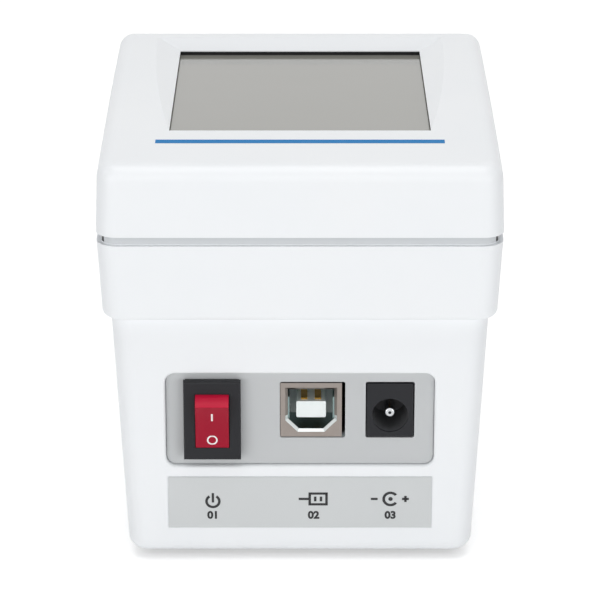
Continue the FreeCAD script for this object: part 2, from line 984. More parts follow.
def port_label():
    plate = rear_plate(label_w / 2, label_h / 2, label_seat, -label_seat, label_t - label_seat)
    return on_rear(plate, label_z)


bezel_back_y = panel_y(switch_z + bezel_h / 2)
bezel_front_y = bezel_back_y + bezel_t
switch_back_y = bezel_back_y - switch_body_l
pivot_y = bezel_front_y - rocker_sink


def rocker_space(gap):
    """Room that the rocker sweeps, a drum about its pivot."""
    half = rocker_w / 2 + rocker_side_gap
    return Part.makeCylinder(rocker_r + gap, 2 * half, V(switch_x - half, pivot_y, switch_z), X)


def switch_body():
    bezel = around(switch_x, 0, bezel_w / 2, bezel_h / 2, bezel_neck_t, bezel_t)
    bezel = round_edges(bezel, bezel_round, lambda box: box.ZMin > bezel_neck_t)
    neck = around(switch_x, 0, bezel_w / 2 - bezel_neck, bezel_h / 2 - bezel_neck / 2,
                  0, bezel_neck_t)
    bezel = join([bezel, neck])
    bezel.rotate(ORIGIN, X, -90)
    bezel.translate(V(0, bezel_back_y, switch_z))
    body = block(switch_x - switch_body_w / 2, switch_x + switch_body_w / 2,
                 switch_back_y, bezel_back_y,
                 switch_z - switch_body_h / 2, switch_z + switch_body_h / 2)
    latches = []
    for side in SIDES:
        z = switch_z + side * (switch_body_h / 2 + latch_t / 2)
        back = bezel_back_y - body_wall - pad_t - latch_t
        latches.append(block(switch_x - latch_w / 2, switch_x + latch_w / 2,
                             back - latch_h, back, z - latch_t / 2, z + latch_t / 2))
    solid = join([bezel, body] + latches)
    solid = solid.cut(rocker_space(rocker_end_gap))
    for side in SIDES:
        x = switch_x + side * (rocker_w / 2 + rocker_side_gap)
        low, high = sorted((x - side * overrun / 2, x + side * (pivot_l + pivot_play)))
        solid = solid.cut(Part.makeCylinder(pivot_r + pivot_play, high - low,
                                            V(low, pivot_y, switch_z), X))
    return solid


def switch_rocker():
    """Drum about the pivot, cut off flat in front and behind, O end pressed in."""
    half = rocker_w / 2
    disc = Part.makeCylinder(rocker_r, rocker_w, V(switch_x - half, pivot_y, switch_z), X)
    back = pivot_y - rocker_back
    face = pivot_y + rocker_face
    side_view = [(back, switch_z - rocker_r), (face, switch_z - rocker_r),
                 (face - rocker_dip, switch_z), (face, switch_z + rocker_r),
                 (back, switch_z + rocker_r)]
    rocker = disc.common(prism_x(side_view, switch_x - half, switch_x + half))
    rocker = round_edges(rocker, rocker_round,
                         lambda box: box.YMin > pivot_y + rocker_face - rocker_round / 2)
    pins = []
    for side in SIDES:
        x = switch_x + side * half
        low, high = sorted((x, x + side * (pivot_l + rocker_side_gap - pivot_play)))
        pins.append(Part.makeCylinder(pivot_r, high - low, V(low, pivot_y, switch_z), X))
    rocker = join([rocker] + pins)
    rocker.rotate(V(switch_x, pivot_y, switch_z), X, -rocker_tilt)
    return rocker


def blade_z(index):
    return switch_z + (index - 0.5) * blade_pitch


def switch_terminals():
    blades = []
    for index in range(2):
        z = blade_z(index)
        blade = block(switch_x - blade_w / 2, switch_x + blade_w / 2,
                      switch_back_y - blade_l, switch_back_y, z - blade_t / 2, z + blade_t / 2)
        hole = drum(blade_hole_r, switch_x, switch_back_y - blade_l + blade_w / 2,
                    z - blade_t, z + blade_t)
        blades.append(blade.cut(hole))
    return blades


usb_front_y = panel_y(io_board_z - usb_h / 2) - usb_sink
usb_low_z = io_board_z - usb_h
usb_back_y = usb_front_y - usb_l
port_z = io_board_z - usb_h / 2
tongue_z = port_z - tongue_drop


def port_ring(grow, y):
    """Outline of the socket's mouth, with its lower corners cut off."""
    half = port_w / 2 + grow
    low = port_z - port_h / 2 - grow
    high = port_z + port_h / 2 + grow
    cut = port_chamfer + grow / 2
    points = [(-half, high), (-half, low + cut), (-half + cut, low),
              (half - cut, low), (half, low + cut), (half, high)]
    return Part.makePolygon([V(usb_x + x, y, z) for x, z in points + points[:1]])


def usb_mouth():
    """Room of the mouth through the shell's face, opened out towards the plug."""
    back = usb_front_y - overrun * 2
    straight = Part.Face(port_ring(0, back)).extrude(V(0, overrun * 3, 0))
    rings = [port_ring(0, usb_front_y - port_lead), port_ring(port_lead * 2, usb_front_y + port_lead)]
    return straight.fuse(Part.makeLoft(rings, True, True))


def usb_shell():
    half = usb_w / 2
    outer = block(usb_x - half, usb_x + half, usb_back_y, usb_front_y, usb_low_z, io_board_z)
    room = block(usb_x - half + usb_wall, usb_x + half - usb_wall, usb_back_y - overrun,
                 usb_front_y - usb_face, usb_low_z + usb_wall, io_board_z - usb_wall)
    shell = outer.cut([room, usb_mouth()])
    leaves = []
    leaf_front_y = usb_front_y - usb_face - usb_leaf_gap
    for side in SIDES:
        inner = usb_x + side * (half - usb_wall)
        edge = usb_x + side * (port_w / 2 - usb_leaf_w)
        low, high = sorted((edge, edge + side * usb_leaf_w))
        leaf = block(low, high, leaf_front_y - usb_leaf_l, leaf_front_y,
                     port_z - usb_leaf_h / 2, port_z + usb_leaf_h / 2)
        low, high = sorted((edge, inner))
        foot = block(low, high, leaf_front_y - usb_leaf_l, leaf_front_y - usb_leaf_l + usb_wall,
                     port_z - usb_leaf_h / 2, port_z + usb_leaf_h / 2)
        leaves += [leaf, foot]
    return join([shell] + leaves)


block_front_y = usb_back_y + block_l


def contact_rows():
    """Places of the four contacts: across, and above or below the tongue."""
    return [(sx * contact_pitch / 2, sz) for sx in SIDES for sz in SIDES]


def usb_insulator():
    half = usb_w / 2 - usb_wall
    back = block(usb_x - half, usb_x + half, usb_back_y, block_front_y,
                 usb_low_z + usb_wall, io_board_z - usb_wall)
    tongue = block(usb_x - tongue_w / 2, usb_x + tongue_w / 2, block_front_y - overrun,
                   block_front_y + tongue_l, tongue_z - tongue_h / 2, tongue_z + tongue_h / 2)
    tongue = round_edges(tongue, tongue_round, lambda box: box.YLength > tongue_l / 2)
    solid = join([back, tongue])
    return solid.cut(contact_solids())


def contact_solids():
    contacts = []
    for x, side in contact_rows():
        face = tongue_z + side * tongue_h / 2
        low, high = sorted((face, face + side * contact_t))
        contacts.append(block(usb_x + x - contact_w / 2, usb_x + x + contact_w / 2,
                              usb_back_y - overrun, block_front_y + contact_l, low, high))
    return contacts


def usb_contacts():
    return contact_solids()


jack_front_y = panel_y(io_board_z - jack_h / 2)
jack_low_z = io_board_z - jack_h
jack_bore_z = jack_low_z + jack_bore_rise
jack_back_y = jack_front_y - jack_l
jack_floor_y = jack_front_y - jack_bore_l


def jack_leaf():
    z = jack_bore_z + jack_bore_r
    return block(jack_x - jack_leaf_w / 2, jack_x + jack_leaf_w / 2,
                 jack_floor_y - overrun, jack_floor_y + jack_leaf_l, z, z + jack_leaf_t)


def dc_jack_body():
    body = block(jack_x - jack_w / 2, jack_x + jack_w / 2, jack_back_y, jack_front_y,
                 jack_low_z, io_board_z)
    body = round_edges(body, jack_round,
                       lambda box: box.YMax > jack_front_y - jack_round / 2)
    bore = bar(jack_bore_r, jack_x, jack_bore_z, jack_floor_y, jack_front_y + overrun)
    slot = block(jack_x - jack_slot_w / 2, jack_x + jack_slot_w / 2, jack_floor_y,
                 jack_front_y - jack_slot_h, jack_bore_z,
                 jack_bore_z + jack_bore_r + jack_slot_h)
    pin = bar(pin_r, jack_x, jack_bore_z, jack_back_y - overrun, jack_floor_y + overrun)
    return body.cut([bore, slot, pin, jack_leaf()])


def dc_jack_pin():
    tip = jack_front_y - pin_sink
    pin = bar(pin_r, jack_x, jack_bore_z, jack_back_y - pin_foot / 4, tip)
    pin = round_edges(pin, pin_round, lambda box: box.YMin > tip - pin_round / 2)
    return pin.cut(bar(pin_hole_r, jack_x, jack_bore_z, tip - pin_hole_l, tip + overrun))


def dc_jack_spring():
    return jack_leaf()


# Socket board

io_rear_y = body_l(io_board_z) - body_wall - pad_t - io_board_back_gap
io_front_y = io_rear_y - io_board_l
io_top_z = io_board_z + io_board_t


def io_board():
    board = block(io_board_low_x, io_board_high_x, io_front_y, io_rear_y, io_board_z, io_top_z)
    cuts = [drum(pan_hole_r, x, y, io_board_z - overrun, io_top_z + overrun)
            for x, y in shelf_screws()]
    cuts.append(drum(post_r + post_clear, -post_x, post_y, io_board_z - overrun,
                     io_top_z + overrun))
    return board.cut(cuts)


def header_place():
    return (io_board_high_x - header_w / 2, io_front_y + header_l / 2)


def ribbon_y():
    """Plane of the flat cable between socket board and main board."""
    return io_front_y + ribbon_socket_l


def io_board_parts():
    x, y = header_place()
    header = around(x, y, header_w / 2, header_l / 2, io_top_z, io_top_z + header_h)
    for side in SIDES:
        pin_x = x + side * lead_pitch / 2
        header = header.cut(drum(lead_r, pin_x, y, io_top_z + header_h / 2,
                                 io_top_z + header_h + overrun))
    cap = drum(io_cap_r, jack_x, io_rear_y - io_coil_w, io_top_z, io_top_z + io_cap_h)
    cap = round_edges(cap, io_cap_r / 6, lambda box: box.ZMin > io_top_z)
    coil = around(usb_x, io_rear_y - io_coil_w / 2 - overrun, io_coil_w / 2, io_coil_w / 2,
                  io_top_z, io_top_z + io_coil_h)
    coil = round_edges(coil, io_coil_h / 4, lambda box: box.ZMax - box.ZMin > io_coil_h / 2)
    return [header, cap, coil, ribbon_socket(io_top_z, io_top_z + ribbon_socket_h)]


def ribbon_socket(z0, z1):
    socket = around(ribbon_x, ribbon_y(), ribbon_socket_w / 2, ribbon_socket_l / 2, z0, z1)
    slit = around(ribbon_x, ribbon_y(), flex_w / 4 + fit_gap, flex_t / 2, z0 - overrun, z1 + overrun)
    return socket.cut(slit)


ribbon_x = jack_x + ribbon_socket_w / 2


def lead_path(index):
    """Centre line of one switch lead, from its blade up and over to the header."""
    side = SIDES[index]
    head_x, head_y = header_place()
    start = V(switch_x, switch_back_y - blade_l, blade_z(index))
    end = V(head_x + side * lead_pitch / 2, head_y, io_top_z + header_h / 2)
    back_y = start.y - lead_back - index * lead_pitch
    high_z = end.z + lead_back + index * lead_pitch
    points = [start, V(start.x, back_y, start.z), V(start.x, back_y, high_z),
              V(end.x, end.y, high_z), end]
    return points


def tube_along(points, radius, bend):
    """Round tube along straight runs joined by arcs."""
    edges = []
    last = points[0]
    for here, after in zip(points[1:-1], points[2:]):
        into = (here - last).normalize()
        out = (after - here).normalize()
        half_turn = into.getAngle(out) / 2
        step = bend * math.tan(half_turn)
        a = here - into * step
        b = here + out * step
        mid_way = (out - into).normalize()
        centre = here + mid_way * (bend / math.cos(half_turn))
        middle = centre - mid_way * bend
        edges.append(Part.makeLine(last, a))
        edges.append(Part.Arc(a, middle, b).toShape())
        last = b
    edges.append(Part.makeLine(last, points[-1]))
    path = Part.Wire(edges)
    ring = Part.Wire(Part.makeCircle(radius, points[0], (points[1] - points[0])))
    return path.makePipeShell([ring], True, False)


def switch_leads():
    leads = []
    for index in range(2):
        points = lead_path(index)
        step = min((a - b).Length for a, b in zip(points, points[1:])) * 0.45
        leads.append(tube_along(points, lead_r, min(lead_bend, step)))
    return leads


# Display and main board, built flat about the glass's top face

def display_gasket():
    outer = around(0, 0, window_half_w + gasket_rim, window_half_l + gasket_rim, 0, gasket_t)
    hole = around(0, 0, window_half_w + gasket_step, window_half_l + gasket_step,
                  -overrun, gasket_t + overrun)
    return on_glass(outer.cut(hole))


def touch_glass():
    return on_glass(around(0, 0, glass_half_w, glass_half_l, -glass_t, 0))


def lcd_pocket(grow):
    """Room of the display panel inside its frame."""
    return block(-lcd_half_w + lcd_border - grow, lcd_half_w - lcd_border + grow,
                 -lcd_half_l + lcd_border - grow, lcd_half_l - lcd_border + grow,
                 lcd_low + lcd_t / 3, -glass_t)


def lcd_panel():
    return on_glass(lcd_pocket(0))


def lcd_frame():
    frame = around(0, 0, lcd_half_w, lcd_half_l, lcd_low, -glass_t)
    return on_glass(frame.cut(lcd_pocket(0)))


def display_carrier():
    half_w = carrier_half_w
    half_l = carrier_half_l
    tray = around(0, 0, half_w, half_l, carrier_low, -glass_t - carrier_gap)
    room = around(0, 0, lcd_half_w + carrier_gap, lcd_half_l + carrier_gap, lcd_low, overrun)
    ears = []
    cuts = [room]
    for x, y in carrier_ears():
        side = math.copysign(1, x)
        low, high = sorted((side * (half_w - carrier_wall), x))
        ears.append(block(low, high, y - carrier_ear_half, y + carrier_ear_half,
                          carrier_low, lcd_low))
        ears.append(drum(carrier_ear_half, x, y, carrier_low, lcd_low))
        cuts.append(drum(pan_hole_r, x, y, carrier_low - overrun, lcd_low + overrun))
    for x, y in corners(standoff_x, standoff_y):
        cuts.append(drum(pan_hole_r, x, y, carrier_low - overrun, lcd_low + overrun))
    cuts.append(around(0, half_l, flex_w / 2 + carrier_gap, carrier_wall + carrier_gap * 2,
                       lcd_low, -glass_t))
    carrier = on_glass(join([tray] + ears).cut(cuts))
    return carrier.cut([drum(boss_r + carrier_gap, x, y, post_top_z, cover_z + crown_rear_h)
                        for x, y in corners(post_x, post_y)])


def board_standoffs():
    pillars = []
    for x, y in corners(standoff_x, standoff_y):
        radius = standoff_across / 2 / math.cos(math.pi / 6)
        hexagon = []
        for step in range(7):
            turn = step * math.pi / 3
            hexagon.append(V(x + radius * math.cos(turn), y + radius * math.sin(turn), board_top))
        pillar = Part.Face(Part.makePolygon(hexagon)).extrude(V(0, 0, standoff_l))
        stud = drum(pan_hole_r, x, y, carrier_low, lcd_low)
        bore = drum(pan_hole_r, x, y, board_top - overrun, board_top + pan_hole_l)
        pillars.append(on_glass(pillar.fuse(stud).cut(bore)))
    return pillars


def main_board():
    board = around(0, 0, board_half_w, board_half_l, board_low, board_top)
    holes = [drum(pan_hole_r, x, y, board_low - overrun, board_top + overrun)
             for x, y in corners(standoff_x, standoff_y)]
    return on_glass(board.cut(holes))


def board_chips():
    """Processor, two memories and three coils on top of the main board."""
    chips = []
    top = board_top
    chips.append(around(0, -chip_w / 2, chip_w / 2, chip_w / 2, top, top + chip_h))
    for side in SIDES:
        chips.append(around(side * chip_w, -chip_w, memory_w / 2, memory_l / 2,
                            top, top + memory_h))
    for index in range(3):
        x = (index - 1) * (coil_w + memory_h * 2)
        coil = around(x, -board_half_l + coil_w, coil_w / 2, coil_w / 2, top, top + coil_h)
        chips.append(round_edges(coil, coil_h / 4,
                                 lambda box: box.ZMax - box.ZMin > coil_h / 2))
    return [on_glass(chip) for chip in chips]


def under_board_z(y):
    """Height of the main board's under side at a depth."""
    return glass_z + board_low / math.cos(math.radians(glass_slope)) \
        + (y - window_mid_y) * lean(glass_slope)


camera_flex_y = hood_mid_y + camera_l / 2 - camera_socket_l / 2
motor_flex_y = pinion_y


def board_sockets():
    """Sockets for the display, the socket board, the camera and the motor."""
    ffc = around(0, board_half_l - ffc_l, ffc_w / 2, ffc_l / 2, board_top, board_top + ffc_h)
    sockets = [on_glass(ffc)]
    z = under_board_z(ribbon_y() - ribbon_socket_l / 2)
    sockets.append(ribbon_socket(z - ribbon_socket_h, z))
    z = under_board_z(camera_flex_y - camera_socket_l / 2)
    socket = around(0, camera_flex_y, camera_socket_w / 2, camera_socket_l / 2,
                    z - camera_socket_h, z)
    slit = around(0, camera_flex_y, camera_socket_w / 4 + fit_gap, flex_t / 2,
                  z - camera_socket_h - overrun, z)
    sockets.append(socket.cut(slit))
    z = under_board_z(motor_flex_y - motor_plug_w / 2)
    plug = around(motor_plug_x, motor_flex_y, motor_plug_t / 2, motor_plug_w / 2,
                  z - camera_socket_h, z)
    slit = around(motor_plug_x, motor_flex_y, flex_t / 2, motor_plug_w / 3 + fit_gap,
                  z - camera_socket_h - overrun, z)
    sockets.append(plug.cut(slit))
    return sockets


def coin_cell():
    low = board_top + cell_lift
    cell = drum(cell_r, cell_x, cell_y, low, low + cell_h)
    cell = round_edges(cell, cell_h / 8, lambda box: box.ZMin > low)
    return on_glass(cell)


def cell_holder():
    low = board_top
    high = low + cell_lift + cell_h * 0.7
    wall = cell_r + hood_wall
    cup = drum(wall, cell_x, cell_y, low, high)
    room = drum(cell_r + fit_gap, cell_x, cell_y, low + cell_lift, high + overrun)
    gap = block(cell_x, cell_x + wall, cell_y - cell_r / 3, cell_y + cell_r / 3,
                low + cell_lift, high + overrun)
    return on_glass(cup.cut([room, gap]))


def buzzer():
    can = drum(buzzer_r, buzzer_x, buzzer_y, board_top, board_top + buzzer_h)
    can = round_edges(can, buzzer_r / 10, lambda box: box.ZMin > board_top)
    return on_glass(can.cut(drum(buzzer_hole_r, buzzer_x, buzzer_y, board_top + buzzer_h / 2,
                                 board_top + buzzer_h + overrun)))


def display_cable():
    """Flat cable looped from the display's rear end down onto the main board."""
    half_t = flex_t / 2
    high = lcd_low + flex_t
    low = board_top + ffc_h / 2
    middle = (high + low) / 2
    y = carrier_half_l + fit_gap
    left = V(-flex_w / 2, y, middle)
    loop = Part.makeCylinder((high - low) / 2 + half_t, flex_w, left, X)
    loop = loop.cut(Part.makeCylinder((high - low) / 2 - half_t, flex_w, left, X))
    loop = loop.cut(block(-flex_w, flex_w, y - high + low, y, low - flex_t, high + flex_t))
    start = block(-flex_w / 2, flex_w / 2, lcd_half_l, y, high - half_t, high + half_t)
    tail = block(-flex_w / 2, flex_w / 2, board_half_l - ffc_l / 2, y, low - half_t, low + half_t)
    return on_glass(join([loop, start, tail]))


def bowed_strip(width, x, y, z0, z1, bow):
    """Upright flat cable that bows towards the front between its two ends."""
    middle = (z0 + z1) / 2
    faces = []
    for shift in (-flex_t / 2, flex_t / 2):
        faces.append(Part.Arc(V(x, y + shift, z0), V(x, y + shift - bow, middle),
                              V(x, y + shift, z1)).toShape())
    ends = [Part.makeLine(V(x, y - flex_t / 2, z), V(x, y + flex_t / 2, z)) for z in (z0, z1)]
    wire = Part.Wire(Part.__sortEdges__(faces + ends))
    strip = Part.Face(wire).extrude(V(width, 0, 0))
    strip.translate(V(-width / 2, 0, 0))
    return strip


def main_cable():
    y = ribbon_y()
    low = io_top_z + ribbon_socket_h
    high = under_board_z(y - ribbon_socket_l / 2) - ribbon_socket_h
    tails = [block(ribbon_x - flex_w / 4, ribbon_x + flex_w / 4, y - flex_t / 2, y + flex_t / 2,
                   z0, z1) for z0, z1 in ((io_top_z + fit_gap, low), (high, high + flex_bow))]
    return join([bowed_strip(flex_w / 2, ribbon_x, y, low, high, flex_bow)] + tails)


def camera_cable():
    y = camera_flex_y
    low = camera_z + camera_t + camera_socket_h
    high = under_board_z(y - camera_socket_l / 2)
    return block(-camera_socket_w / 4, camera_socket_w / 4, y - flex_t / 2, y + flex_t / 2,
                 low - camera_socket_h / 2, high - camera_socket_h / 2)


# Drawer

def drawer_tray():
    front = front_back_y()
    tray = block(-tray_half_w, tray_half_w, front, tray_rear_y, tray_low_z, tray_top_z)
    lugs = []
    for side in SIDES:
        low, high = sorted((side * (tray_half_w - overrun), side * (rod_x + lug_half)))
        lugs.append(block(low, high, tray_rear_y - lug_l, tray_rear_y,
                          rod_z - lug_half, rod_z + lug_half))
    low = tray_low_z
    flag = block(-flag_half_w, flag_half_w, tray_rear_y - overrun, tray_rear_y + flag_l,
                 low, low + flag_h)
    tray = join([tray, flag] + lugs)
    pocket = outline(pocket_half_w, pocket_l / 2, pocket_corner, pocket_floor_z)
    pocket = Part.Face(pocket).extrude(V(0, 0, pocket_depth + overrun))
    middle = (pocket_front_y + pocket_rear_y) / 2
    pocket.translate(V(0, middle, 0))
    fingers = outline(finger_half_w, finger_l / 2, pocket_corner, tray_top_z - finger_depth)
    fingers = Part.Face(fingers).extrude(V(0, 0, finger_depth + overrun))
    fingers.translate(V(0, middle - finger_l / 2, 0))
    seat = block(-tile_half_w, tile_half_w, tile_front_y(), tile_front_y() + tile_l,
                 tray_top_z - tile_t, tray_top_z + overrun)
    cuts = [pocket, fingers, seat]
    for side in SIDES:
        cuts.append(bar(bush_r, side * rod_x, rod_z, tray_rear_y - lug_l, tray_rear_y))
        cuts.append(front_screw_hole(side))
    return tray.cut(cuts)


def tile_front_y():
    return pocket_rear_y + tile_gap


def front_back_y():
    """Back face of the drawer's front."""
    return -body_l(body_low_z) + body_wall - (base_rise - front_gap)


def front_screw_hole(side):
    x = side * front_screw_x
    y = pocket_front_y
    deep = pocket_front_y - front_back_y() + body_wall / 2
    return bar(pan_r + screw_gap, x, front_screw_z, y - deep - screw_gap, y + overrun)


def front_screws():
    """Screws from the pocket forward into the drawer's front."""
    screws = []
    deep = pocket_front_y - front_back_y() + body_wall / 2
    for side in SIDES:
        x = side * front_screw_x
        head = bar(pan_head_r, x, front_screw_z, pocket_front_y, pocket_front_y + pan_head_h)
        head = round_edges(head, pan_head_h / 3,
                           lambda box: box.YMin > pocket_front_y + pan_head_h / 2)
        screws.append(head.fuse(bar(pan_r, x, front_screw_z, pocket_front_y - deep,
                                    pocket_front_y)))
    return screws


def drawer_front():
    """Plate that lies flush with the body's own leaning front."""
    low = slot_low_z + front_gap
    high = slot_top_z - front_gap
    back = front_back_y()
    plate = prism_x([(back, low), (-body_l(low), low), (-body_l(high), high), (back, high)],
                    -slot_half_w + front_gap, slot_half_w - front_gap)
    return plate.cut([front_screw_hole(side) for side in SIDES])


def slide_bushes():
    bushes = []
    for side in SIDES:
        x = side * rod_x
        y0 = tray_rear_y - lug_l
        ring = bar(bush_r, x, rod_z, y0, tray_rear_y)
        bushes.append(ring.cut(bar(rod_r + bush_play, x, rod_z, y0 - overrun,
                                   tray_rear_y + overrun)))
    return bushes


def guide_rods():
    return [bar(rod_r, side * rod_x, rod_z, rod_front_y, rod_rear_y) for side in SIDES]


def reference_tile():
    return block(-tile_half_w, tile_half_w, tile_front_y(), tile_front_y() + tile_l,
                 tray_top_z - tile_t, tray_top_z)


def drawer_rack():
    """Straight rack on the tray's side; a gap between teeth faces the pinion."""
    root = rack_line_x - dedendum
    tip = rack_line_x + addendum
    flank = lean(pressure_angle)
    half = (tooth_pitch - backlash) / 4
    count = int((tray_rear_y - rack_front_y) / tooth_pitch) - 1
    first = int((pinion_y - rack_front_y) / tooth_pitch) - 1
    points = [V(tray_half_w, rack_front_y, rack_low_z), V(root, rack_front_y, rack_low_z)]
    for index in range(count):
        y = pinion_y + (index - first + 0.5) * tooth_pitch
        points.append(V(root, y - half - dedendum * flank, rack_low_z))
        points.append(V(tip, y - half + addendum * flank, rack_low_z))
        points.append(V(tip, y + half - addendum * flank, rack_low_z))
        points.append(V(root, y + half + dedendum * flank, rack_low_z))
    points += [V(root, tray_rear_y, rack_low_z), V(tray_half_w, tray_rear_y, rack_low_z)]
    face = Part.Face(Part.makePolygon(points + points[:1]))
    return face.extrude(V(0, 0, rack_top_z - rack_low_z))


def motor_pinion():
    """Involute pinion with one tooth towards the rack."""
    base_r = pinion_pitch_r * math.cos(math.radians(pressure_angle))
    root_r = pinion_pitch_r - dedendum
    tip_r = pinion_pitch_r + addendum
    angle = math.radians(pressure_angle)
    at_pitch = math.pi / (2 * pinion_teeth) - backlash / (4 * pinion_pitch_r)
    at_pitch += math.tan(angle) - angle
    flank = [(root_r, at_pitch)]
    steps = 4
    for step in range(steps + 1):
        r = base_r + (tip_r - base_r) * step / steps
        roll = math.acos(base_r / r)
        flank.append((r, at_pitch - math.tan(roll) + roll))
    points = []
    for tooth in range(pinion_teeth):
        centre = math.pi + tooth * 2 * math.pi / pinion_teeth
        sides = [(r, centre - turn) for r, turn in flank]
        sides += [(r, centre + turn) for r, turn in reversed(flank)]
        for r, turn in sides:
            points.append(V(pinion_x + r * math.cos(turn), pinion_y + r * math.sin(turn),
                            pinion_low_z))
    face = Part.Face(Part.makePolygon(points + points[:1]))
    gear = face.extrude(V(0, 0, pinion_top_z - pinion_low_z))
    hub = drum(hub_r, pinion_x, pinion_y, pinion_low_z, pinion_top_z + hub_h)
    bore = drum(shaft_r, pinion_x, pinion_y, pinion_low_z - overrun,
                pinion_top_z + hub_h + overrun)
    return join([gear, hub]).cut(bore)


def motor_shaft():
    return drum(shaft_r, pinion_x, pinion_y, pinion_low_z, deck_top_z + shaft_in)


def motor_ears():
    turn = math.radians(motor_ear_turn)
    reach = motor_ear_reach
    return [(pinion_x + side * reach * math.cos(turn), pinion_y + side * reach * math.sin(turn))
            for side in SIDES]


motor_plug_x = pinion_x - motor_boss_r


def stepper_motor():
    top = deck_top_z + motor_h
    can = drum(motor_r, pinion_x, pinion_y, deck_top_z, top)
    can = round_edges(can, motor_round, lambda box: box.ZMin > top - motor_round)
    boss = drum(motor_boss_r, pinion_x, pinion_y, deck_top_z - motor_boss_h, deck_top_z)
    solids = [can, boss]
    (x0, y0), (x1, y1) = motor_ears()
    flange = around(0, 0, motor_ear_reach, motor_ear_r, deck_top_z, deck_top_z + motor_ear_t)
    flange.rotate(ORIGIN, Z, motor_ear_turn)
    flange.translate(V(pinion_x, pinion_y, 0))
    solids.append(flange)
    holes = []
    for x, y in ((x0, y0), (x1, y1)):
        solids.append(drum(motor_ear_r, x, y, deck_top_z, deck_top_z + motor_ear_t))
        holes.append(drum(pan_hole_r, x, y, deck_top_z - overrun, deck_top_z + motor_ear_t))
    solids.append(around(motor_plug_x, pinion_y, motor_plug_t / 2, motor_plug_w / 2,
                         top - overrun, top + motor_plug_h))
    bore = drum(shaft_r + shaft_play, pinion_x, pinion_y, deck_low_z - overrun,
                deck_top_z + shaft_in + shaft_play)
    slit = around(motor_plug_x, pinion_y, flex_t / 2, motor_plug_w / 3 + fit_gap,
                  top + fit_gap, top + motor_plug_h + overrun)
    return join(solids).cut(holes + [bore, slit])


def motor_cable():
    """Flat cable from the motor's plug up to the main board."""
    low = deck_top_z + motor_h + fit_gap
    high = under_board_z(motor_flex_y - motor_plug_w / 2) - camera_socket_h / 2
    return block(motor_plug_x - flex_t / 2, motor_plug_x + flex_t / 2,
                 pinion_y - motor_plug_w / 3, pinion_y + motor_plug_w / 3, low, high)


# Chassis and optics

def hood_ears():
    return [(side * hood_ear_x, y) for side in SIDES
            for y in (hood_ear_front_y, hood_ear_rear_y)]


def drawer_chassis():
    deck = block(-deck_half_w, deck_half_w, deck_front_y, deck_rear_y, deck_low_z, deck_top_z)
    legs = []
    for x, y in leg_places:
        legs.append(around(x, y, leg_half_w, leg_half_l, base_top_z, deck_top_z))
    cuts = [block(-eye_half_w, eye_half_w, eye_front_y, eye_rear_y,
                  deck_low_z - overrun, deck_top_z + overrun)]
    for x, y in corners(post_x, post_y):
        cuts.append(drum(post_r + post_clear, x, y, deck_low_z - overrun, deck_top_z + overrun))
    for x, y in leg_places:
        cuts.append(sunk_hole(x, y))
    cuts.append(drum(motor_boss_r + fit_gap, pinion_x, pinion_y,
                     deck_low_z - overrun, deck_top_z + overrun))
    for x, y in motor_ears() + hood_ears():
        cuts.append(drum(pan_hole_r, x, y, deck_low_z - overrun, deck_top_z + overrun))
    return join([deck] + legs).cut(cuts)


def camera_holes():
    half_w = camera_w / 2 - camera_hole_inset
    half_l = camera_l / 2 - camera_hole_inset
    return [(x, hood_mid_y + y) for x, y in corners(half_w, half_l)]


def optics_hood():
    outer = block(-hood_half_w, hood_half_w, hood_front_y, hood_rear_y, deck_top_z, hood_top_z)
    ears = []
    cuts = []
    for x, y in hood_ears():
        side = math.copysign(1, x)
        low, high = sorted((side * (hood_half_w - hood_wall / 2), x + side * hood_ear_half))
        ears.append(block(low, high, y - hood_ear_half, y + hood_ear_half,
                          deck_top_z, deck_top_z + hood_ear_t))
        cuts.append(drum(pan_hole_r, x, y, deck_top_z - overrun, deck_top_z + hood_ear_t + overrun))
    bosses = []
    for x, y in camera_holes():
        bosses.append(drum(camera_boss_r, x, y, hood_top_z - hood_wall, camera_z))
        cuts.append(drum(pan_hole_r, x, y, camera_z - pan_hole_l, camera_z + overrun))
    room = block(-hood_half_w + hood_wall, hood_half_w - hood_wall,
                 hood_front_y + hood_wall, hood_rear_y - hood_wall,
                 deck_top_z - overrun, hood_top_z - hood_wall)
    cuts.append(drum(holder_r + fit_gap, 0, hood_mid_y, hood_top_z - hood_wall - overrun,
                     hood_top_z + overrun))
    shell = outer.cut(room)
    return join([shell] + ears + bosses).cut(cuts)


def optics_window():
    gap = fit_gap
    return block(-hood_half_w + hood_wall + gap, hood_half_w - hood_wall - gap,
                 hood_front_y + hood_wall + gap, hood_rear_y - hood_wall - gap,
                 deck_top_z, deck_top_z + pane_t)


lamp_low_z = deck_top_z + pane_t + lamp_board_lift


def led_boards():
    boards = []
    for side in SIDES:
        wall = side * (hood_half_w - hood_wall)
        low, high = sorted((wall, wall - side * lamp_board_t))
        boards.append(block(low, high, hood_mid_y - lamp_board_l / 2,
                            hood_mid_y + lamp_board_l / 2, lamp_low_z, lamp_low_z + lamp_board_h))
    return boards


def leds():
    """Lamps in a row on each lamp board, facing the strip."""
    lamps = []
    pitch = lamp_board_l / lamp_count
    z = lamp_low_z + lamp_board_h / 2
    for side in SIDES:
        face = side * (hood_half_w - hood_wall - lamp_board_t)
        low, high = sorted((face, face - side * lamp_t))
        for index in range(lamp_count):
            y = hood_mid_y + (index - (lamp_count - 1) / 2) * pitch
            lamps.append(block(low, high, y - lamp_w / 2, y + lamp_w / 2,
                               z - lamp_h / 2, z + lamp_h / 2))
    return lamps


